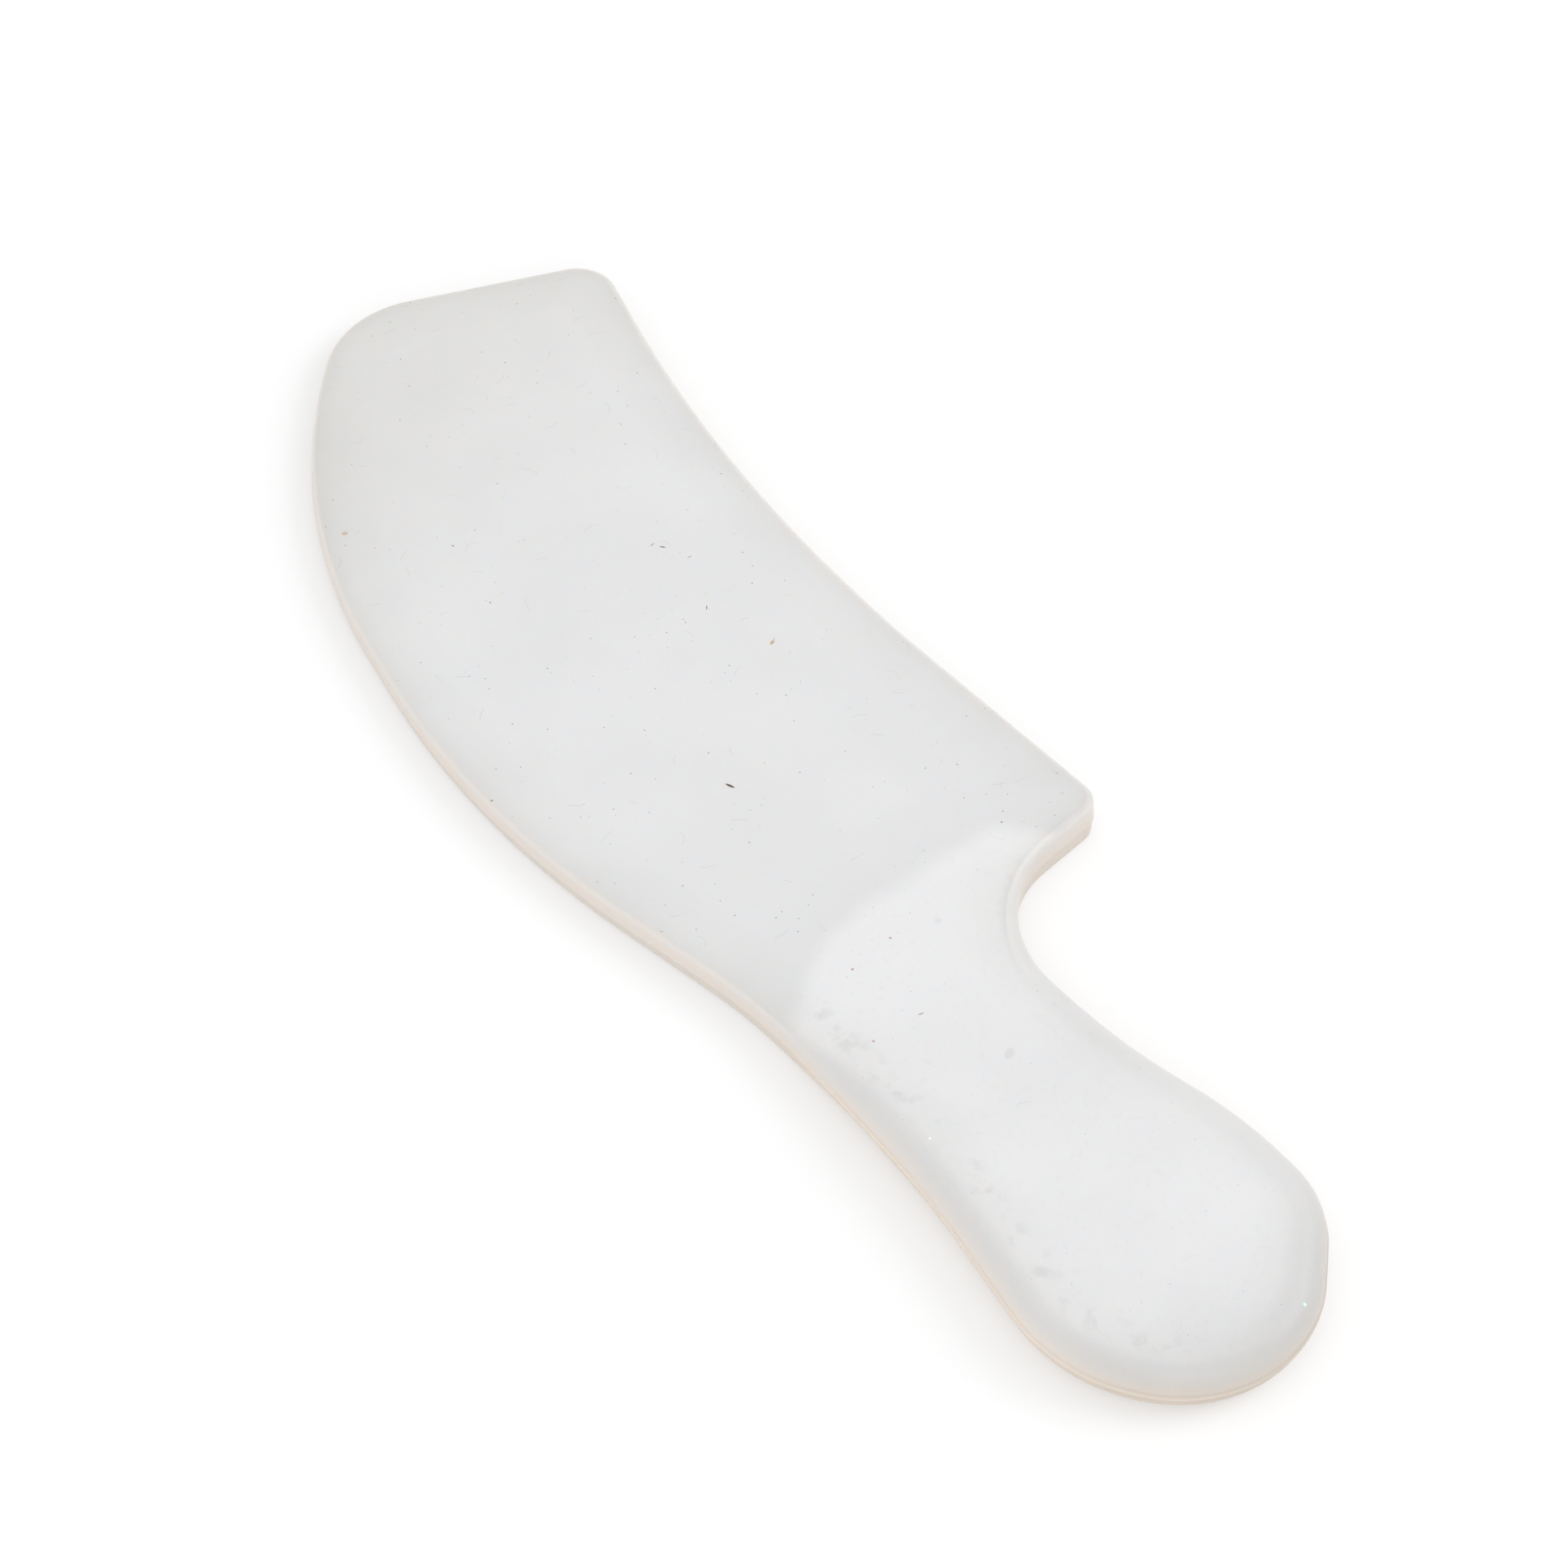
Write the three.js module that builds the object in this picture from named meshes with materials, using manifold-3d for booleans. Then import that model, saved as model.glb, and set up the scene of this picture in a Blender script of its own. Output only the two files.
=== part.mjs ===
// Bench scraper: a soft one-piece blade and grip moulded round a stiff plate.
// Millimetres. +X runs from the toe to the end of the grip, +Z is up, the flat underside is at Z = 0.
import * as THREE from "three";
import { mergeVertices } from "three/addons/utils/BufferGeometryUtils.js";
import Module from "manifold-3d";

const wasm = await Module();
wasm.setup();

// Outline of the body seen from above: corner x, corner y, blend radius. It starts at the toe, runs
// along the hollow spine to the heel, round the finger notch and the grip, and back along the edge.
const bodyCorners = [
  [-110.2, 43.6, 7.6],
  [-60.4, 29.9, 286],
  [-12.6, 29.4, 177],
  [35.1, 31.8, 3.8],
  [37.8, 11.4, 16.5],
  [49.6, 3.9, 20.4],
  [69.6, 3.9, 96],
  [91.5, 9.6, 70],
  [109.9, 9.7, 16.7],
  [134.5, -15.1, 21.5],
  [109.2, -39.7, 26.5],
  [73.6, -34.5, 136],
  [33.4, -33, 81],
  [0, -39.9, 106],
  [-30.7, -43.8, 154],
  [-95.1, -32, 105],
  [-119, -8.5, 160],
  [-128.7, 1.3, 17.5],
];

// Where the outline is paired across the body: toe, heel, notch root, grip end, and the two points
// on the scraping edge and the grip that face the notch root and the heel.
const bodyAnchors = [
  [-117, 21],
  [34.5, 31.2],
  [52, 4.6],
  [123.8, -14],
  [52, -32.8],
  [28, -34.2],
];

// Thickness: the blade is a wedge, thin at the scraping edge and the toe, and rises to the grip.
const bladeThickness = 6.5;
const bladeRiseAlong = 0.0125;
const bladeRiseAcross = 0.032;
const gripThickness = 9.2;
const neckStart = 32;
const neckEnd = 64;

// Edge roundings of the two mould halves, which meet at the parting line.
const bladeTopRound = 1.1;
const bladeBottomRound = 0.7;
const gripTopRound = 4.4;
const gripBottomRound = 3.6;
const partingShare = 0.45;
const wallDraft = 0.12;

// Stiff plate inside the grip, the neck and the root of the blade.
const coreCorners = [
  [-14, 3, 9],
  [36, -3, 40],
  [66, -6, 60],
  [90, 1, 24],
  [113, 0, 12],
  [113, -30, 12],
  [90, -29, 24],
  [62, -24, 60],
  [30, -26, 40],
  [-14, -21, 9],
];
const coreAnchors = [
  [-14, -9],
  [36, -2.6],
  [66, -5.4],
  [113, -15],
  [62, -24.6],
  [30, -25.4],
];
const coreBottom = 2.5;
const coreTongueThickness = 2;
const coreGripThickness = 3.8;
const coreStepStart = 40;
const coreStepEnd = 58;
const coreEdgeBevel = 0.4;
const clearance = 0.3;

// Holes through the plate that the soft body fills, as x, y and diameter. They lock the two together.
const keyingHoles = [
  [-4, -9, 7],
  [14, -10.5, 8],
  [34, -13, 9],
  [57, -15, 9],
  [77, -14.5, 11],
  [98, -14.5, 13],
];

// Pins in the mould hold the plate off the lower face, and leave these round holes in the underside.
const pinHoles = [
  [24, -12],
  [67, -15],
  [88, -25],
  [88, -5],
];
const pinDiameter = 3;
const roundSides = 24;

// Smooth step from 0 to 1 between two values of x.
function easeBetween(x, from, to) {
  const t = Math.min(1, Math.max(0, (x - from) / (to - from)));
  return t * t * (3 - 2 * t);
}

// Height of the body's upper face.
function bodyTop(x, y) {
  const blade = bladeThickness + bladeRiseAlong * x + bladeRiseAcross * y;
  return THREE.MathUtils.lerp(blade, gripThickness, easeBetween(x, neckStart, neckEnd));
}

// Height of the plate's upper face.
function coreTop(x) {
  const share = easeBetween(x, coreStepStart, coreStepEnd);
  return coreBottom + THREE.MathUtils.lerp(coreTongueThickness, coreGripThickness, share);
}

// Closed path through the blended corners in short steps, each point with its outward normal.
// The corners run clockwise seen from above.
function blendedPath(corners) {
  const path = [];
  corners.forEach(([x, y, radius], i) => {
    const corner = new THREE.Vector2(x, y);
    const last = new THREE.Vector2(...corners.at(i - 1));
    const next = new THREE.Vector2(...corners[(i + 1) % corners.length]);
    const toLast = last.sub(corner).normalize();
    const toNext = next.sub(corner).normalize();
    const halfAngle = Math.acos(toLast.dot(toNext)) / 2;
    const middle = toLast.clone().add(toNext).normalize();
    const centre = corner.clone().addScaledVector(middle, radius / Math.sin(halfAngle));
    const turn = Math.sign(toNext.cross(toLast));
    const sweep = Math.PI - 2 * halfAngle;
    const steps = Math.max(6, Math.ceil((sweep * radius) / 0.6));
    const startAngle = Math.atan2(-middle.y, -middle.x) - (turn * sweep) / 2;
    for (let step = 0; step <= steps; step += 1) {
      const angle = startAngle + (turn * sweep * step) / steps;
      const spoke = new THREE.Vector2(Math.cos(angle), Math.sin(angle));
      const point = centre.clone().addScaledVector(spoke, radius);
      path.push({ point, normal: spoke.multiplyScalar(-turn) });
    }
  });
  return path;
}

// Points along the path between two anchors, closer together where the path turns.
function samplesBetween(path, startAt, endAt, count) {
  const run = [];
  for (let i = startAt; i !== endAt; i = (i + 1) % path.length) run.push(path[i]);
  run.push(path[endAt]);
  const weights = [0];
  for (let i = 1; i < run.length; i += 1) {
    const bend = run[i].normal.angleTo(run[i - 1].normal);
    weights.push(weights[i - 1] + run[i].point.distanceTo(run[i - 1].point) + 14 * bend);
  }
  const samples = [];
  let i = 1;
  for (let k = 0; k < count; k += 1) {
    const wanted = (weights.at(-1) * k) / count;
    while (weights[i] < wanted) i += 1;
    const share = (wanted - weights[i - 1]) / (weights[i] - weights[i - 1]);
    const point = run[i - 1].point.clone().lerp(run[i].point, share);
    const normal = run[i - 1].normal.clone().lerp(run[i].normal, share).normalize();
    samples.push({ point, normal });
  }
  return samples;
}

// Loop of samples whose two sides hold the same number of points, so that they can be paired.
function pairedLoop(corners, anchors, counts) {
  const path = blendedPath(corners);
  const stops = anchors.map(([x, y]) => {
    const near = new THREE.Vector2(x, y);
    const distances = path.map(({ point }) => point.distanceTo(near));
    return distances.indexOf(Math.min(...distances));
  });
  const spread = [counts[0], counts[1], counts[2], counts[2], counts[1], counts[0]];
  return stops.flatMap((stop, i) => {
    return samplesBetween(path, stop, stops[(i + 1) % stops.length], spread[i]);
  });
}

// Closed solid from a paired loop. Each level gives the inset and the height of one ring, from the
// bottom up, and the upper face is spanned between paired points at the heights of topAt.
function ringedSolid(loop, levels, topAt, columns) {
  const vertices = [];
  const faces = [];
  const rings = levels.map((level) => {
    return loop.map((sample) => {
      const { inset, height } = level(sample.point);
      const place = sample.point.clone().addScaledVector(sample.normal, -inset);
      vertices.push(place.x, place.y, height);
      return vertices.length / 3 - 1;
    });
  });
  const total = loop.length;
  const addFace = (a, b, c) => {
    if (a !== b && b !== c && c !== a) faces.push(a, b, c);
  };
  for (let level = 1; level < rings.length; level += 1) {
    const low = rings[level - 1];
    const high = rings[level];
    for (let i = 0; i < total; i += 1) {
      const next = (i + 1) % total;
      addFace(low[i], high[i], low[next]);
      addFace(low[next], high[i], high[next]);
    }
  }
  const rows = [];
  for (let i = 0; i <= total / 2; i += 1) {
    const start = rings.at(-1)[i];
    const end = rings.at(-1)[(total - i) % total];
    const row = [start];
    for (let column = 1; column <= columns; column += 1) {
      const share = column / (columns + 1);
      const x = THREE.MathUtils.lerp(vertices[3 * start], vertices[3 * end], share);
      const y = THREE.MathUtils.lerp(vertices[3 * start + 1], vertices[3 * end + 1], share);
      if (start !== end) vertices.push(x, y, topAt(x, y));
      row.push(start === end ? start : vertices.length / 3 - 1);
    }
    row.push(end);
    rows.push(row);
  }
  for (let i = 1; i < rows.length; i += 1) {
    for (let k = 1; k < rows[i].length; k += 1) {
      addFace(rows[i - 1][k - 1], rows[i - 1][k], rows[i][k]);
      addFace(rows[i - 1][k - 1], rows[i][k], rows[i][k - 1]);
    }
  }
  for (let i = 1; i <= total / 2; i += 1) {
    const [a, b] = [rings[0][i - 1], rings[0][i]];
    const [c, d] = [rings[0][(total - i) % total], rings[0][(total - i + 1) % total]];
    addFace(a, b, c);
    addFace(a, c, d);
  }
  const geometry = new THREE.BufferGeometry();
  geometry.setAttribute("position", new THREE.Float32BufferAttribute(vertices, 3));
  geometry.setIndex(faces);
  return solidFrom(geometry);
}

// Manifold solid from a closed three.js geometry.
function solidFrom(geometry) {
  const bare = geometry.clone();
  bare.deleteAttribute("normal");
  bare.deleteAttribute("uv");
  const merged = mergeVertices(bare, 1e-3);
  return new wasm.Manifold(
    new wasm.Mesh({
      numProp: 3,
      vertProperties: merged.attributes.position.array,
      triVerts: new Uint32Array(merged.index.array),
    }),
  );
}

// Round pin along Z.
function roundPin(x, y, diameter, from, to) {
  const pin = new THREE.CylinderGeometry(diameter / 2, diameter / 2, to - from, roundSides);
  pin.rotateX(Math.PI / 2);
  pin.translate(x, y, (from + to) / 2);
  return solidFrom(pin);
}

// Edge of the body: a quarter round below, drafted walls that meet at the parting line, and a
// quarter round above. Both roundings grow from the blade to the grip.
function bodyLevels() {
  const growth = (x) => easeBetween(x, neckStart + 4, neckStart + 26);
  const lower = (x) => THREE.MathUtils.lerp(bladeBottomRound, gripBottomRound, growth(x));
  const upper = (x) => THREE.MathUtils.lerp(bladeTopRound, gripTopRound, growth(x));
  const levels = [];
  for (const turn of [0, 30, 60, 90]) {
    const angle = THREE.MathUtils.degToRad(turn);
    levels.push(({ x }) => ({
      inset: wallDraft + lower(x) * (1 - Math.sin(angle)),
      height: lower(x) * (1 - Math.cos(angle)),
    }));
  }
  levels.push(({ x, y }) => ({ inset: 0, height: partingShare * bodyTop(x, y) }));
  for (const turn of [0, 22.5, 45, 67.5, 90]) {
    const angle = THREE.MathUtils.degToRad(turn);
    levels.push(({ x, y }) => ({
      inset: wallDraft + upper(x) * (1 - Math.cos(angle)),
      height: bodyTop(x, y) - upper(x) * (1 - Math.sin(angle)),
    }));
  }
  return levels;
}

// Plate outline grown by a margin on every side, with its edge bevelled above and below.
function plateLevels(margin) {
  const base = () => coreBottom - margin;
  const cover = ({ x }) => coreTop(x) + margin;
  return [
    (p) => ({ inset: coreEdgeBevel - margin, height: base(p) }),
    (p) => ({ inset: -margin, height: base(p) + coreEdgeBevel }),
    (p) => ({ inset: -margin, height: cover(p) - coreEdgeBevel }),
    (p) => ({ inset: coreEdgeBevel - margin, height: cover(p) }),
  ];
}

// Plate, or with a margin the room that it takes in the body.
function plateSolid(margin) {
  const loop = pairedLoop(coreCorners, coreAnchors, [14, 8, 16]);
  let plate = ringedSolid(loop, plateLevels(margin), (x) => coreTop(x) + margin, 1);
  for (const [x, y, diameter] of keyingHoles) {
    plate = plate.subtract(roundPin(x, y, diameter - 2 * margin, 0, gripThickness));
  }
  return plate;
}

function bodySolid() {
  const loop = pairedLoop(bodyCorners, bodyAnchors, [42, 14, 34]);
  let body = ringedSolid(loop, bodyLevels(), bodyTop, 5).subtract(plateSolid(clearance));
  for (const [x, y] of pinHoles) {
    body = body.subtract(roundPin(x, y, pinDiameter, -1, coreBottom));
  }
  return body;
}

// Named mesh from a solid, with its own material.
function meshFrom(name, solid, color, roughness) {
  const { numProp, numVert, vertProperties, triVerts } = solid.getMesh();
  const positions = new Float32Array(numVert * 3);
  for (let i = 0; i < numVert; i += 1) {
    positions.set(vertProperties.subarray(i * numProp, i * numProp + 3), i * 3);
  }
  const geometry = new THREE.BufferGeometry();
  geometry.setAttribute("position", new THREE.BufferAttribute(positions, 3));
  geometry.setIndex(new THREE.BufferAttribute(triVerts, 1));
  geometry.computeVertexNormals();
  const material = new THREE.MeshStandardMaterial({ color, roughness, metalness: 0 });
  const mesh = new THREE.Mesh(geometry, material);
  mesh.name = name;
  return mesh;
}

const scraper = new THREE.Group();
scraper.name = "bench_scraper";
scraper.add(meshFrom("silicone_body", bodySolid(), 0xe9eaea, 0.35));
scraper.add(meshFrom("stiffener_core", plateSolid(0), 0xd9d6cc, 0.6));

export default scraper;
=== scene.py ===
import math

import bmesh
import bpy
from mathutils import Matrix, Vector, kdtree, noise


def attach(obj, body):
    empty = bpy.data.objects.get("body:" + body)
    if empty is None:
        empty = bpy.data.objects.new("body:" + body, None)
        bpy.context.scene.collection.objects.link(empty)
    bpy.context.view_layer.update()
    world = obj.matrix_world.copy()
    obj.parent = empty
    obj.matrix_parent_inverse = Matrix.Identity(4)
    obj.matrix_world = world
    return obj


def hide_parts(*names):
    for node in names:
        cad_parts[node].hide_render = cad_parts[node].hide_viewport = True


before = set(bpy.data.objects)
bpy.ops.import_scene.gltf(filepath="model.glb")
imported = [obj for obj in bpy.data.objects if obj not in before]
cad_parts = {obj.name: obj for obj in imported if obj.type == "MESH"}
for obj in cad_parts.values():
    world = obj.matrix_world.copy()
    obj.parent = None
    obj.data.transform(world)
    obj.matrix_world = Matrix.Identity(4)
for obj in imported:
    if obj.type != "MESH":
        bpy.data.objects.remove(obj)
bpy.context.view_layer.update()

mm = 0.001
white = (1, 1, 1, 1)
black = (0, 0, 0, 1)
print("scraper: frame loaded")


def directionOf(azimuth, elevation):
    # a unit vector: azimuth 0 is towards -Y and 90 towards +X, in degrees
    turn, tilt = math.radians(azimuth), math.radians(elevation)
    return Vector((math.sin(turn) * math.cos(tilt), -math.cos(turn) * math.cos(tilt), math.sin(tilt)))


def facing(away):
    # the turn of a camera or a light that looks back along the direction it stands in
    return (-away).to_track_quat("-Z", "Y").to_euler()


# camera: aimed at the middle of the tool from a little above half-way up, lengths in mm but clip in metres
cameraSetup = {
    "aim": (-2.2, -1.1, 0.0),
    "azimuth": 52.0,
    "elevation": 50.0,
    "distance": 631.3,
    "lens": 93.17,
    "sensor": 36.0,
    "clip": (0.01, 20),
}


def placeCamera(setup):
    data = bpy.data.cameras.new("camera")
    data.lens = setup["lens"]
    data.sensor_width = setup["sensor"]
    data.clip_start, data.clip_end = setup["clip"]
    camera = bpy.data.objects.new("camera", data)
    bpy.context.scene.collection.objects.link(camera)
    away = directionOf(setup["azimuth"], setup["elevation"])
    aim = Vector(setup["aim"]) * mm
    camera.location = aim + away * setup["distance"] * mm
    camera.rotation_euler = facing(away)
    bpy.context.scene.camera = camera
    print("scraper: camera placed")


# the body of soft silicone: lengths are in mm, and a corner of the outline is x, y and blend radius
body = {
    "corners": [
        (-110.2, 43.6, 7.6), (-60.4, 29.9, 286), (-12.6, 29.4, 177), (35.1, 31.8, 3.8),
        (37.8, 11.4, 16.5), (49.6, 3.9, 20.4), (69.6, 3.9, 96), (91.5, 9.6, 70),
        (109.9, 9.7, 16.7), (134.5, -15.1, 21.5), (109.2, -39.7, 26.5), (73.6, -34.5, 136),
        (33.4, -33, 81), (0, -39.9, 106), (-30.7, -43.8, 154), (-95.1, -32, 105),
        (-119, -8.5, 160), (-128.7, 1.3, 17.5),
    ],
    "bladeThickness": 6.5,
    "riseAlong": 0.0125,
    "riseAcross": 0.032,
    "gripThickness": 9.2,
    "neck": (32, 64),
    "roundingGrows": (36, 58),
    "bladeTopRound": 1.1,
    "bladeBottomRound": 0.7,
    "gripTopRound": 4.4,
    "gripBottomRound": 3.6,
    "draft": 0.22,
    "partingShare": 0.45,
    "partingBead": 0.04,
    "beadHeights": (0.12, 0.3),
    "beadUnevenness": 0.4,
    "beadWave": 7,
    "gripBeadLoss": 0.7,
    "flashNick": {"x": 38.0, "y": 28.0, "width": 1.1, "height": 0.3},
    "waviness": {"height": 0.05, "length": 28.0},
    "roundSegments": 9,
    "stepLength": 1.2,
    "stepAngle": 5.0,
    "leastSteps": 3,
    "gridStep": 1.5,
    # edges that face this azimuth are marked for painted shade, to a depth that grows along X from the blade
    # to the grip
    "litSide": {"azimuth": 138, "reach": (1.3, 6.5), "grows": (30, 66)},
}

# marks of the mould pins in the underside: x, y, and one diameter and depth for all
pinMarks = {
    "places": [(24, -12), (67, -15), (88, -25), (88, -5)],
    "diameter": 3.0,
    "depth": 2.6,
    "rim": 0.15,
    "segments": 40,
}


def ease(value, low, high):
    share = min(1, max(0, (value - low) / (high - low)))
    return share * share * (3 - 2 * share)


def mix(a, b, share):
    return a + (b - a) * share


def ofKind(parts, kind):
    return [part for part in parts if isinstance(part, kind)]


def once(parts):
    # each part once, in the order met
    return list(dict.fromkeys(parts))


def putInOrder(bm):
    # points and faces are numbered by their place, so that every run gives the same mesh
    for parts, place in ((bm.verts, lambda v: v.co[:]), (bm.faces, lambda f: f.calc_center_median()[:])):
        rank = {part: i for i, part in enumerate(sorted(parts, key=place))}
        parts.sort(key=rank.get)


def topHeight(x, y):
    # x, y and the height are in mm
    blade = body["bladeThickness"] + body["riseAlong"] * x + body["riseAcross"] * y
    wave = body["waviness"]["height"] * noise.noise(Vector((x, y, 0)) / body["waviness"]["length"])
    return mix(blade, body["gripThickness"], ease(x, *body["neck"])) + wave


def cornerBlend(corners, i):
    # start, centre and signed sweep of one rounded corner
    corner = Vector((*corners[i][:2], 0))
    toLast = (Vector((*corners[i - 1][:2], 0)) - corner).normalized()
    toNext = (Vector((*corners[(i + 1) % len(corners)][:2], 0)) - corner).normalized()
    halfAngle = toLast.angle(toNext) / 2
    radius = corners[i][2]
    centre = corner + (toLast + toNext).normalized() * radius / math.sin(halfAngle)
    turn = -1 if toNext.cross(toLast).z < 0 else 1
    return corner + toLast * radius / math.tan(halfAngle), centre, turn * (math.pi - 2 * halfAngle)


def runTo(bm, loop, target):
    # a straight run of short edges up to the target, which stays open
    gap = target - loop[-1].co
    steps = max(1, math.ceil(gap.length / body["stepLength"]))
    for _ in range(steps - 1):
        loop += bmesh.ops.extrude_vert_indiv(bm, verts=loop[-1:])["verts"]
        bmesh.ops.translate(bm, vec=gap / steps, verts=loop[-1:])
    return gap / steps


def outlineLoop(bm, corners):
    # one chain of vertices, drawn out along the straights and turned about the centre of each corner
    loop = []
    for i in range(len(corners)):
        start, centre, sweep = cornerBlend(corners, i)
        if loop:
            lastStep = runTo(bm, loop, start)
            loop += bmesh.ops.extrude_vert_indiv(bm, verts=loop[-1:])["verts"]
            bmesh.ops.translate(bm, vec=lastStep, verts=loop[-1:])
        else:
            loop.append(bm.verts.new(start))
        byAngle = math.ceil(abs(sweep) / math.radians(body["stepAngle"]))
        byLength = math.ceil(abs(sweep) * corners[i][2] / body["stepLength"])
        steps = max(body["leastSteps"], byAngle, byLength)
        oneStep = Matrix.Rotation(sweep / steps, 3, "Z")
        for _ in range(steps):
            loop += bmesh.ops.extrude_vert_indiv(bm, verts=loop[-1:])["verts"]
            bmesh.ops.rotate(bm, cent=centre, matrix=oneStep, verts=loop[-1:])
    runTo(bm, loop, loop[0].co)
    bm.edges.new((loop[-1], loop[0]))
    return loop


def outwardNormals(points):
    # the outward direction at each point of a closed loop, whichever way round it runs
    area = sum(points[i - 1].cross(p).z for i, p in enumerate(points))
    side = 1 if area > 0 else -1
    normals = []
    for i, point in enumerate(points):
        before = (point - points[i - 1]).normalized()
        after = (points[(i + 1) % len(points)] - point).normalized()
        along = (before + after).normalized()
        normals.append(Vector((along.y, -along.x, 0)) * side)
    return normals


def edgeLevels():
    # inset and height of each ring, from the parting line up and from it down
    def rounding(x, blade, grip):
        return mix(body[blade], body[grip], ease(x, *body["roundingGrows"]))

    def wall(p, outset, offset):
        # the moulding flash is uneven along the parting line, with one thicker nick at the heel
        nick = body["flashNick"]
        fromNick = math.hypot(p.x - nick["x"], p.y - nick["y"]) / nick["width"]
        loss = body["gripBeadLoss"] * ease(p.x, *body["roundingGrows"])
        uneven = 1 + body["beadUnevenness"] * noise.noise(p / body["beadWave"]) - loss
        inset = -outset * uneven - nick["height"] * math.exp(-fromNick ** 2)
        return inset, topHeight(p.x, p.y) * body["partingShare"] + offset

    def upper(turn):
        def level(p):
            r = rounding(p.x, "bladeTopRound", "gripTopRound")
            return body["draft"] + r * (1 - math.cos(turn)), topHeight(p.x, p.y) - r * (1 - math.sin(turn))
        return level

    def lower(turn):
        def level(p):
            r = rounding(p.x, "bladeBottomRound", "gripBottomRound")
            return body["draft"] + r * (1 - math.cos(turn)), r * (1 - math.sin(turn))
        return level

    turns = [math.pi / 2 * i / body["roundSegments"] for i in range(body["roundSegments"] + 1)]
    bead = body["partingBead"]
    near, far = body["beadHeights"]
    up = [lambda p: wall(p, bead, near), lambda p: wall(p, 0, far)] + [upper(t) for t in turns]
    down = [lambda p: wall(p, -bead, -near), lambda p: wall(p, -bead, -far)] + [lower(t) for t in turns]
    return up, down


def growRings(bm, edges, levels, points, normals, around):
    # each level is an extrusion of the ring before it
    for level in levels:
        grown = bmesh.ops.extrude_edge_only(bm, edges=edges)["geom"]
        edges = ofKind(grown, bmesh.types.BMEdge)
        for vert in ofKind(grown, bmesh.types.BMVert):
            place = points[vert[around]]
            inset, height = level(place)
            vert.co = place - normals[vert[around]] * inset + Vector((0, 0, height))
    return edges


def cutGrid(bm, face, step):
    # a large flat face is cut into a grid, so that it can follow the height of the upper side
    pieces = [face]
    low = [min(v.co[k] for v in face.verts) for k in range(2)]
    high = [max(v.co[k] for v in face.verts) for k in range(2)]
    for axis, normal in enumerate(((1, 0, 0), (0, 1, 0))):
        count = math.ceil((high[axis] - low[axis]) / step)
        for i in range(1, count):
            at = Vector((0, 0, 0))
            at[axis] = mix(low[axis], high[axis], i / count)
            rims = once(part for piece in pieces for part in (*piece.edges, *piece.verts))
            cut = bmesh.ops.bisect_plane(bm, geom=pieces + rims, plane_co=at, plane_no=normal, dist=1e-4)
            pieces = ofKind(cut["geom"], bmesh.types.BMFace)
    return pieces


def pinRing(bm, x, y):
    # a round mark: rim, wall and blind end, returned with the edges of its mouth
    r = pinMarks["diameter"] / 2
    outer = r + pinMarks["rim"]
    made = bmesh.ops.create_circle(bm, cap_ends=False, segments=pinMarks["segments"], radius=outer)
    bmesh.ops.translate(bm, verts=made["verts"], vec=(x, y, 0))
    mouth = once(edge for vert in made["verts"] for edge in vert.link_edges)
    edges = mouth
    for radius, height in ((r, pinMarks["rim"]), (r, pinMarks["depth"])):
        grown = bmesh.ops.extrude_edge_only(bm, edges=edges)["geom"]
        edges = ofKind(grown, bmesh.types.BMEdge)
        for vert in ofKind(grown, bmesh.types.BMVert):
            away = Vector((vert.co.x - x, vert.co.y - y, 0)).normalized()
            vert.co = Vector((x, y, height)) + away * radius
    bmesh.ops.contextual_create(bm, geom=edges)
    return mouth


def markForMaterial(bm, points, normals):
    # for the material: share of the height, distance to the outline, and how far the edge faces the light,
    # which the material darkens as painted shade
    lit = body["litSide"]
    towardsLight = directionOf(lit["azimuth"], 0)
    outline = kdtree.KDTree(len(points))
    for i, point in enumerate(points):
        outline.insert((point.x, point.y, 0), i)
    outline.balance()
    rise, margin, paintedShadeOnLitEdge = (bm.verts.layers.float.new(name) for name in ("rise", "margin", "paintedShadeOnLitEdge"))
    for vert in bm.verts:
        share = vert.co.z / topHeight(vert.co.x, vert.co.y)
        vert[rise] = share or 1.0  # the flat underside is as white as the top
        nearest, vert[margin] = outline.find((vert.co.x, vert.co.y, 0))[1:]
        near = max(0, 1 - vert[margin] / mix(*lit["reach"], ease(vert.co.x, *lit["grows"])))
        vert[paintedShadeOnLitEdge] = near * max(0, normals[nearest].dot(towardsLight))


def makeBody():
    bm = bmesh.new()
    around = bm.verts.layers.int.new("around")
    loop = outlineLoop(bm, body["corners"])
    points = [v.co.copy() for v in loop]
    normals = outwardNormals(points)
    for i, vert in enumerate(loop):
        vert[around] = i
        vert.co.z = topHeight(vert.co.x, vert.co.y) * body["partingShare"]
    parting = bm.edges[:]
    up, down = edgeLevels()
    topRing = growRings(bm, parting, up, points, normals, around)
    bottomRing = growRings(bm, parting, down, points, normals, around)
    cap = bmesh.ops.contextual_create(bm, geom=topRing)["faces"][0]
    for face in cutGrid(bm, cap, body["gridStep"]):
        for vert in face.verts:
            vert.co.z = topHeight(vert.co.x, vert.co.y)
    mouths = [edge for x, y in pinMarks["places"] for edge in pinRing(bm, x, y)]
    bmesh.ops.triangle_fill(bm, edges=bottomRing + mouths, use_beauty=True, normal=(0, 0, -1))
    bmesh.ops.recalc_face_normals(bm, faces=bm.faces)
    putInOrder(bm)
    markForMaterial(bm, points, normals)
    bmesh.ops.scale(bm, vec=(mm, mm, mm), verts=bm.verts)
    for face in bm.faces:
        face.smooth = True
    mesh = bpy.data.meshes.new("siliconeBody")
    bm.to_mesh(mesh)
    print("scraper: body has", len(bm.verts), "points and", len(bm.faces), "faces")
    bm.free()
    piece = bpy.data.objects.new("siliconeBody", mesh)
    bpy.context.scene.collection.objects.link(piece)
    return piece


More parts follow.
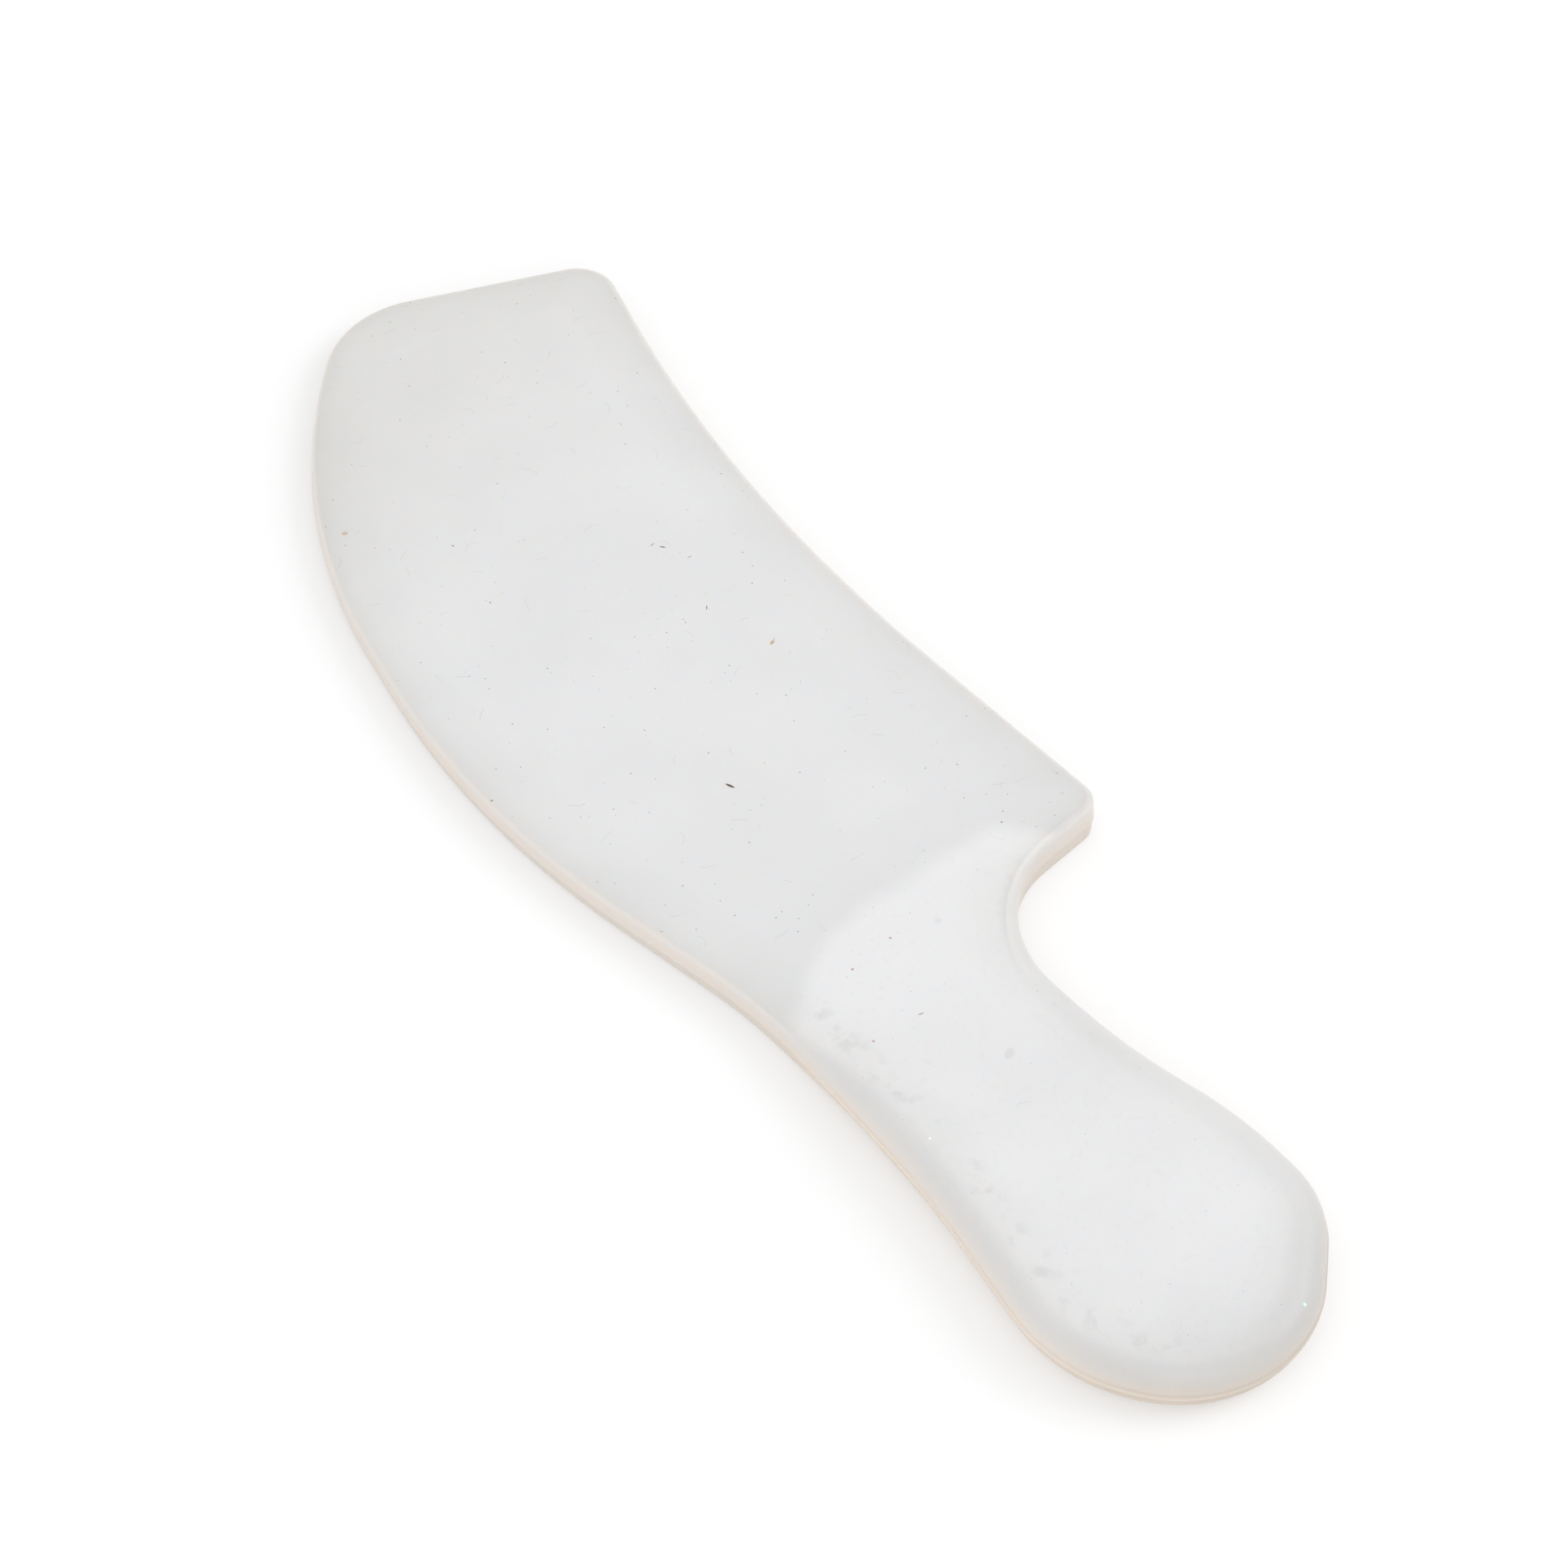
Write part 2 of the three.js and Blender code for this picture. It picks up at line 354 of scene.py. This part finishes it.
# white silicone: colours are the share of light sent back, sizes are in mm
silicone = {
    "toe": (0.694, 0.690, 0.682, 1),
    "blade": (0.724, 0.725, 0.728, 1),
    "heel": (0.695, 0.695, 0.70, 1),
    # the lighter neck and grip tones are a painted reflection of the soft light on the grip's top; the darker
    # bulb tone is painted shade
    "neck": (0.778, 0.778, 0.782, 1),
    "grip": (0.737, 0.737, 0.741, 1),
    "bulb": (0.668, 0.668, 0.672, 1),
    # the tones above follow one another along X: a span from and to, and each tone's share of the way
    "bladeSpan": (-130, 40),
    "alongBlade": [(0.0, "toe"), (0.15, "toe"), (0.38, "blade"), (0.85, "blade"), (1.0, "heel")],
    "gripSpan": (30, 130),
    "alongGrip": [(0.1, "neck"), (0.4, "grip"), (0.75, "grip"), (0.95, "bulb")],
    "toeSlant": 0.25,
    "neckEdge": {
        "x": 29, "softness": 2.6, "wobble": 5.0, "wobbleSize": 12,
        "bendFrom": (-10, 13), "bend": (0.022, 0.09),
    },
    "topFrom": (0.92, 1.0),  # the share of the height where the wall gives way to the top
    # painted shade: the top darkens towards the outline, fading inwards over this reach in mm
    "marginReach": 12,
    "marginPaintedShade": [(0.0, (0.91, 0.905, 0.89, 1)), (0.3, (0.965, 0.963, 0.955, 1)), (0.9, white)],
    # wall colours by share of the height: the darker foot, the step at the parting line and the grey rounding
    # are painted shade, the warm tint is painted light scattered through the edge
    "bladeWall": [
        (0.0, (0.57, 0.515, 0.46, 1)), (0.12, (0.67, 0.62, 0.57, 1)), (0.44, (0.69, 0.635, 0.58, 1)),
        (0.46, (0.74, 0.685, 0.63, 1)), (0.72, (0.75, 0.69, 0.64, 1)), (0.9, (0.725, 0.705, 0.68, 1)),
    ],
    "gripWall": [
        (0.0, (0.66, 0.565, 0.485, 1)), (0.2, (0.71, 0.62, 0.54, 1)), (0.42, (0.735, 0.655, 0.58, 1)),
        (0.5, (0.765, 0.69, 0.62, 1)), (0.75, (0.71, 0.69, 0.67, 1)), (0.95, (0.69, 0.69, 0.69, 1)),
    ],
    "bulbWall": [
        (0.0, (0.54, 0.45, 0.37, 1)), (0.2, (0.60, 0.515, 0.44, 1)), (0.42, (0.63, 0.56, 0.49, 1)),
        (0.5, (0.65, 0.585, 0.52, 1)), (0.75, (0.62, 0.60, 0.575, 1)), (0.95, (0.615, 0.615, 0.615, 1)),
    ],
    # painted shade: how much darker the edges facing the right light are made
    "litEdgePaintedShade": 0.23,
    "gripShade": (24, 52),
    "bulbShade": (98, 122),
    "cloud": {"size": 22, "strength": 0.03},
    "gripBlotches": {
        "sizes": (1.1, 3.0), "detail": 4.0, "strengths": (0.10, 0.34), "smallShare": (0.58, 0.72),
        "largeShare": (0.5, 0.66), "band": (3.0, 5.5, 9.0), "palmSide": (-24, -12),
        "tint": (0.52, 0.52, 0.51, 1),
    },
    "roughness": {"range": (0.30, 0.44), "size": 6, "detail": 3.0},
    "ior": 1.41,
    "specular": 0.35,
    "scatter": (1.6, 1.2, 0.9),
    "peel": {"size": 1.4, "height": 0.02},
    "grain": {"size": 0.25, "height": 0.004},
}

# dust that silicone picks up: dots and short bent fibres by chance, mostly on the blade
dust = {
    "dotCell": 2.0, "dotRadius": 0.14, "dotCore": 0.5, "dotStrength": (0.35, 1.0),
    "dotColour": (0.16, 0.14, 0.12, 1),
    "fibreCell": 9.0, "fibreLength": (0.3, 1.4), "fibreWidth": 0.06, "fibreCore": 0.4, "fibreBend": 0.9,
    "fibreShare": 0.6, "fibreStrength": 0.28, "fibreColour": (0.25, 0.24, 0.23, 1),
    "onGrip": 0.35,
}

tints = {
    "brown": (0.12, 0.07, 0.04, 1), "ochre": (0.50, 0.34, 0.16, 1), "black": (0.04, 0.04, 0.04, 1),
    "rust": (0.42, 0.21, 0.12, 1), "grey": (0.40, 0.40, 0.40, 1), "white": (1.0, 1.0, 1.0, 1),
    "glint": (0.60, 1.0, 0.88, 1),
}

# crumbs, flecks and lint with a place of their own, and two painted highlights: tint, x, y, turn in degrees,
# length, width, strength
crumbs = [
    ("brown", -3, -11, 21, 2.0, 0.5, 1.0), ("ochre", -22, 12, 110, 1.3, 0.7, 0.8),
    ("ochre", -85, -27, 60, 1.3, 1.0, 0.55), ("black", -51, 10, 96, 1.1, 0.2, 0.7),
    ("brown", -49.5, 11, 41, 1.2, 0.32, 0.9), ("black", -45, 13, 90, 1.1, 0.18, 0.6),
    ("black", -34.5, 8.5, 142, 1.1, 0.24, 0.7), ("rust", 35.5, -10.5, 0, 0.5, 0.45, 0.8),
    ("rust", 36.5, -18.5, 0, 0.5, 0.5, 0.8), ("rust", 49.5, -25, 0, 0.55, 0.5, 0.7),
    ("rust", 27.5, 18, 0, 0.4, 0.4, 0.5), ("black", -71.5, -15, 40, 0.5, 0.3, 0.8),
    ("black", -57.5, -17.5, 0, 0.35, 0.35, 0.8), ("black", 29, 16.5, 0, 0.35, 0.35, 0.8),
    ("brown", -24, -41, 60, 0.6, 0.35, 0.6), ("black", 50, -16.5, 77, 1.1, 0.35, 0.5),
    ("grey", 64, -11.5, 120, 2.6, 1.7, 0.2), ("grey", 37.5, -3, 0, 1.6, 1.4, 0.14),
    ("grey", 23, 21, 57, 3.6, 0.16, 0.3), ("grey", 24.5, 24, 77, 3.6, 0.16, 0.3),
    ("grey", -47.5, -30, 52, 3.2, 0.16, 0.35), ("grey", -48, -29, 110, 1.0, 0.16, 0.35),
    ("grey", -110.5, 35, 80, 3.6, 0.14, 0.3), ("grey", 72, -15.5, 70, 4.0, 0.2, 0.2),
    ("grey", -80.5, -8.5, 30, 2.2, 0.14, 0.3), ("grey", -75, -2.5, 120, 2.0, 0.14, 0.3),
    # painted highlights: the white dot and the cyan glint
    ("white", 68.5, -30, 0, 0.5, 0.5, 0.6), ("glint", 121.5, -6.5, 0, 0.7, 0.7, 1.0),
]
crumbReach = 2.0  # up and down from the surface, so that none is missed
crumbCore = 0.55  # the share of its radius where a crumb has its full strength
noiseSpan = (0.3, 0.7)  # where nearly all values of a noise lie


def addNode(tree, kind, settings, values):
    node = tree.nodes.new(kind)
    for name, value in settings.items():
        setattr(node, name, value)
    for name, value in values.items():
        if isinstance(value, bpy.types.NodeSocket):
            tree.links.new(value, node.inputs[name])
        else:
            node.inputs[name].default_value = value
    return node


def maths(tree, operation, first, second=0.0):
    return addNode(tree, "ShaderNodeMath", {"operation": operation}, {0: first, 1: second}).outputs[0]


def rangeOf(tree, value, low, high, toLow=0.0, toHigh=1.0, kind="SMOOTHSTEP"):
    values = {"Value": value, "From Min": low, "From Max": high, "To Min": toLow, "To Max": toHigh}
    return addNode(tree, "ShaderNodeMapRange", {"interpolation_type": kind}, values).outputs["Result"]


def mixColours(tree, share, first, second, blend="MIX"):
    settings = {"data_type": "RGBA", "blend_type": blend}
    return addNode(tree, "ShaderNodeMix", settings, {0: share, 6: first, 7: second}).outputs[2]


def rampOf(tree, value, stops):
    ramp = addNode(tree, "ShaderNodeValToRGB", {}, {"Fac": value})
    while len(ramp.color_ramp.elements) < len(stops):
        ramp.color_ramp.elements.new(1.0)
    for element, (position, colour) in zip(ramp.color_ramp.elements, stops):
        element.position, element.color = position, colour
    return ramp.outputs["Color"]


def noiseOf(tree, vector, size, detail=2.0):
    values = {"Vector": vector, "Scale": 1 / size, "Detail": detail}
    return addNode(tree, "ShaderNodeTexNoise", {}, values).outputs["Fac"]


def bumpOf(tree, height, depth, under=None):
    # fine relief, depth in mm, on top of the relief under it
    values = {"Height": height, "Distance": depth * mm}
    if under is not None:
        values["Normal"] = under
    return addNode(tree, "ShaderNodeBump", {}, values).outputs["Normal"]


def attributeOf(tree, name):
    return addNode(tree, "ShaderNodeAttribute", {"attribute_name": name}, {}).outputs["Fac"]


def placeInMm(tree):
    place = tree.nodes.new("ShaderNodeTexCoord").outputs["Object"]
    values = {0: place, "Scale": 1 / mm}
    return addNode(tree, "ShaderNodeVectorMath", {"operation": "SCALE"}, values).outputs[0]


def axesOf(tree, vector):
    return addNode(tree, "ShaderNodeSeparateXYZ", {}, {0: vector}).outputs


def times(tree, first, *others):
    for other in others:
        first = maths(tree, "MULTIPLY", first, other)
    return first


def topColour(tree, place):
    # yellowish thin toe and milky blade; the lighter neck and grip are a painted reflection of the soft light
    # on the grip's top, and the darker bulb end is painted shade
    x, y = axesOf(tree, place)[:2]
    slanted = maths(tree, "ADD", x, times(tree, y, silicone["toeSlant"]))
    bladeStops, gripStops = (
        [(share, silicone[name]) for share, name in silicone[stops]] for stops in ("alongBlade", "alongGrip"))
    blade = rampOf(tree, rangeOf(tree, slanted, *silicone["bladeSpan"], kind="LINEAR"), bladeStops)
    grip = rampOf(tree, rangeOf(tree, x, *silicone["gripSpan"], kind="LINEAR"), gripStops)
    edge = silicone["neckEdge"]
    along = x
    for clamp, start, bend in zip(("MINIMUM", "MAXIMUM"), edge["bendFrom"], edge["bend"]):
        beyond = maths(tree, clamp, maths(tree, "SUBTRACT", y, start), 0)
        along = maths(tree, "SUBTRACT", along, times(tree, beyond, beyond, bend))
    wobble = maths(tree, "SUBTRACT", noiseOf(tree, place, edge["wobbleSize"]), 0.5)
    along = maths(tree, "ADD", along, times(tree, wobble, edge["wobble"]))
    inGrip = rangeOf(tree, along, edge["x"] - edge["softness"], edge["x"] + edge["softness"])
    return mixColours(tree, inGrip, blade, grip), inGrip


def wallColour(tree, place, rise):
    # darker and warmer towards the foot, with a step at the parting line, and darker round the thick grip and
    # its end: the darkening is painted shade and the warm tint is painted light scattered through the edge
    x = axesOf(tree, place)[0]
    blade, grip, bulb = (rampOf(tree, rise, silicone[name]) for name in ("bladeWall", "gripWall", "bulbWall"))
    inGrip = rangeOf(tree, x, *silicone["gripShade"])
    atEnd = rangeOf(tree, x, *silicone["bulbShade"])
    return mixColours(tree, atEnd, mixColours(tree, inGrip, blade, grip), bulb)


def cellsOf(tree, place, size):
    # a scatter of points, each with three numbers of its own
    cells = addNode(tree, "ShaderNodeTexVoronoi", {}, {"Vector": place, "Scale": 1 / size}).outputs
    return cells, addNode(tree, "ShaderNodeSeparateColor", {}, {0: cells["Color"]}).outputs


def dotMask(tree, place):
    # only the dots that the surface passes through show, so their sizes vary
    cells, chance = cellsOf(tree, place, dust["dotCell"])
    edge = dust["dotRadius"] / dust["dotCell"]
    dots = rangeOf(tree, cells["Distance"], edge * dust["dotCore"], edge, 1.0, 0.0)
    return times(tree, dots, rangeOf(tree, chance[0], 0, 1, *dust["dotStrength"]))


def fibreMask(tree, place):
    # each fibre lies about its own point, turned, bent and cut to length by that point's numbers
    cells, chance = cellsOf(tree, place, dust["fibreCell"])
    local = addNode(tree, "ShaderNodeVectorMath", {"operation": "SUBTRACT"}, {0: place, 1: cells["Position"]})
    values = {"Vector": local.outputs[0], "Angle": times(tree, chance[0], 2 * math.pi)}
    turned = addNode(tree, "ShaderNodeVectorRotate", {"rotation_type": "Z_AXIS"}, values)
    x, y = axesOf(tree, turned.outputs[0])[:2]
    bend = times(tree, maths(tree, "SUBTRACT", chance[2], 0.5), dust["fibreBend"])
    sag = times(tree, x, x, bend)
    aside = maths(tree, "ABSOLUTE", maths(tree, "ADD", y, sag))
    across = rangeOf(tree, aside, dust["fibreWidth"] * dust["fibreCore"], dust["fibreWidth"], 1.0, 0.0)
    reach = rangeOf(tree, chance[1], 0, dust["fibreShare"], *dust["fibreLength"])
    along = maths(tree, "LESS_THAN", maths(tree, "ABSOLUTE", x), reach)
    chosen = maths(tree, "LESS_THAN", chance[1], dust["fibreShare"])
    return times(tree, across, along, chosen, dust["fibreStrength"])


def crumbMask(tree, place, x, y, turn, length, width, strength):
    # the mapping turns the fleck into a ball of radius 1, which the top surface cuts
    values = {
        "Vector": place, "Location": (x, y, topHeight(x, y)),
        "Rotation": (0, 0, math.radians(turn)), "Scale": (length / 2, width / 2, crumbReach),
    }
    local = addNode(tree, "ShaderNodeMapping", {"vector_type": "TEXTURE"}, values).outputs[0]
    reach = addNode(tree, "ShaderNodeVectorMath", {"operation": "LENGTH"}, {0: local}).outputs["Value"]
    return rangeOf(tree, reach, crumbCore, 1.0, strength, 0.0)


def blotchedGrip(tree, place, margin, inGrip, colour):
    # small dull blotches all over the grip, and larger ones in a band inside its rim on the near side
    gripBlotches = silicone["gripBlotches"]
    small, large = (noiseOf(tree, place, size, gripBlotches["detail"]) for size in gripBlotches["sizes"])
    faint, strong = gripBlotches["strengths"]
    outer, middle, inner = gripBlotches["band"]
    band = times(tree, rangeOf(tree, margin, outer, middle), rangeOf(tree, margin, middle, inner, 1.0, 0.0))
    band = times(tree, band, rangeOf(tree, axesOf(tree, place)[1], *gripBlotches["palmSide"], 1.0, 0.0))
    blotches = times(tree, rangeOf(tree, small, *gripBlotches["smallShare"]), faint)
    bandBlotches = times(tree, rangeOf(tree, large, *gripBlotches["largeShare"]), band, strong)
    blotchShare = times(tree, maths(tree, "ADD", blotches, bandBlotches), inGrip)
    return mixColours(tree, blotchShare, colour, gripBlotches["tint"])


def makeSilicone():
    material = bpy.data.materials.new("whiteSilicone")
    material.use_nodes = True
    tree = material.node_tree
    shader = tree.nodes["Principled BSDF"]
    place = placeInMm(tree)
    rise, margin = attributeOf(tree, "rise"), attributeOf(tree, "margin")
    colour, inGrip = topColour(tree, place)
    isTop = rangeOf(tree, rise, *silicone["topFrom"])

    # painted shade: the top is darker near the outline
    inward = rangeOf(tree, margin, 0, silicone["marginReach"], kind="LINEAR")
    colour = mixColours(tree, 1.0, colour, rampOf(tree, inward, silicone["marginPaintedShade"]), "MULTIPLY")
    cloud = silicone["cloud"]
    milky = rangeOf(tree, noiseOf(tree, place, cloud["size"]), *noiseSpan, 0.0, cloud["strength"])
    colour = mixColours(tree, milky, colour, black)
    colour = blotchedGrip(tree, place, margin, inGrip, colour)
    colour = mixColours(tree, isTop, wallColour(tree, place, rise), colour)
    # painted shade: the edges that face the right light are darkened
    paintedShade = times(tree, attributeOf(tree, "paintedShadeOnLitEdge"), silicone["litEdgePaintedShade"])
    colour = mixColours(tree, paintedShade, colour, black)

    dusty = times(tree, isTop, rangeOf(tree, inGrip, 0, 1, 1.0, dust["onGrip"]))
    for makeMask, tint in ((dotMask, dust["dotColour"]), (fibreMask, dust["fibreColour"])):
        colour = mixColours(tree, times(tree, makeMask(tree, place), dusty), colour, tint)
    for tint, *fleck in crumbs:
        colour = mixColours(tree, crumbMask(tree, place, *fleck), colour, tints[tint])
    tree.links.new(colour, shader.inputs["Base Color"])

    gloss = silicone["roughness"]
    patches = noiseOf(tree, place, gloss["size"], gloss["detail"])
    tree.links.new(rangeOf(tree, patches, *noiseSpan, *gloss["range"]), shader.inputs["Roughness"])
    relief = None
    for layer in (silicone["peel"], silicone["grain"]):
        relief = bumpOf(tree, noiseOf(tree, place, layer["size"]), layer["height"], relief)
    tree.links.new(relief, shader.inputs["Normal"])

    shader.inputs["IOR"].default_value = silicone["ior"]
    shader.inputs["Specular IOR Level"].default_value = silicone["specular"]
    shader.inputs["Subsurface Weight"].default_value = 1.0
    shader.inputs["Subsurface Radius"].default_value = silicone["scatter"]
    shader.inputs["Subsurface Scale"].default_value = mm
    print("scraper: silicone has", len(crumbs), "crumbs and", len(tree.nodes), "nodes")
    return material


# the core plate: natural nylon with short glass fibres that show as fine pale streaks
nylon = {
    "base": (0.52, 0.49, 0.41, 1),
    "pale": (0.72, 0.70, 0.63, 1),
    "streakSize": 0.8,
    "streakStretch": 6.0,
    "streakDetail": 5.0,
    "streakEdges": (0.35, 0.65),
    "roughness": (0.5, 0.68),
    "bumpHeight": 0.01,
}


def makeNylon():
    material = bpy.data.materials.new("coreNylon")
    material.use_nodes = True
    tree = material.node_tree
    shader = tree.nodes["Principled BSDF"]
    values = {"Vector": placeInMm(tree), "Scale": (1 / nylon["streakStretch"], 1, 1)}
    along = addNode(tree, "ShaderNodeMapping", {}, values).outputs[0]
    streaks = noiseOf(tree, along, nylon["streakSize"], nylon["streakDetail"])
    colour = rampOf(tree, streaks, list(zip(nylon["streakEdges"], (nylon["base"], nylon["pale"]))))
    tree.links.new(colour, shader.inputs["Base Color"])
    tree.links.new(rangeOf(tree, streaks, *noiseSpan, *nylon["roughness"]), shader.inputs["Roughness"])
    tree.links.new(bumpOf(tree, streaks, nylon["bumpHeight"]), shader.inputs["Normal"])
    print("scraper: nylon made")
    return material


# an even white room: the floor glows a little, so that only the shadows on it are grey
room = {
    "world": 0.935,
    "floorColour": (0.56, 0.56, 0.56, 1),
    "floorRoughness": 0.9,
    "floorSpecular": 0.1,
    "floorGlow": 0.375,
    "floorSize": 6.0,
}


def makeRoom():
    scene = bpy.context.scene
    scene.view_settings.view_transform = "Standard"
    world = bpy.data.worlds.new("room")
    scene.world = world
    world.use_nodes = True
    background = world.node_tree.nodes["Background"]
    background.inputs["Color"].default_value = white
    background.inputs["Strength"].default_value = room["world"]
    bm = bmesh.new()
    bmesh.ops.create_grid(bm, x_segments=1, y_segments=1, size=room["floorSize"] / 2)
    mesh = bpy.data.meshes.new("floor")
    bm.to_mesh(mesh)
    bm.free()
    floor = bpy.data.objects.new("floor", mesh)
    scene.collection.objects.link(floor)
    material = bpy.data.materials.new("floor")
    material.use_nodes = True
    shader = material.node_tree.nodes["Principled BSDF"]
    shader.inputs["Base Color"].default_value = room["floorColour"]
    shader.inputs["Roughness"].default_value = room["floorRoughness"]
    shader.inputs["Specular IOR Level"].default_value = room["floorSpecular"]
    shader.inputs["Emission Color"].default_value = white
    shader.inputs["Emission Strength"].default_value = room["floorGlow"]
    mesh.materials.append(material)
    print("scraper: room made")


# two soft boxes aimed at the tool, a strong one on the right and a weak one at the front: lengths in metres
softBoxes = [
    {"name": "right", "azimuth": 152, "elevation": 36, "distance": 1.5, "size": (0.9, 0.8), "power": 7},
    {"name": "front", "azimuth": 65, "elevation": 30, "distance": 1.5, "size": (0.9, 0.7), "power": 3},
]


def makeLights():
    for box in softBoxes:
        data = bpy.data.lights.new(box["name"], "AREA")
        data.shape = "RECTANGLE"
        data.size, data.size_y = box["size"]
        data.energy = box["power"]
        light = bpy.data.objects.new(box["name"], data)
        bpy.context.scene.collection.objects.link(light)
        away = directionOf(box["azimuth"], box["elevation"])
        light.location = away * box["distance"]
        light.rotation_euler = facing(away)
    print("scraper:", len(softBoxes), "lights placed")


placeCamera(cameraSetup)
makeRoom()
makeLights()
siliconeBody = makeBody()
siliconeBody.data.materials.append(makeSilicone())
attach(siliconeBody, "root")
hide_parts("silicone_body")

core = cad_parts["stiffener_core"]
core.data.materials.clear()
core.data.materials.append(makeNylon())

print("scraper: ready")
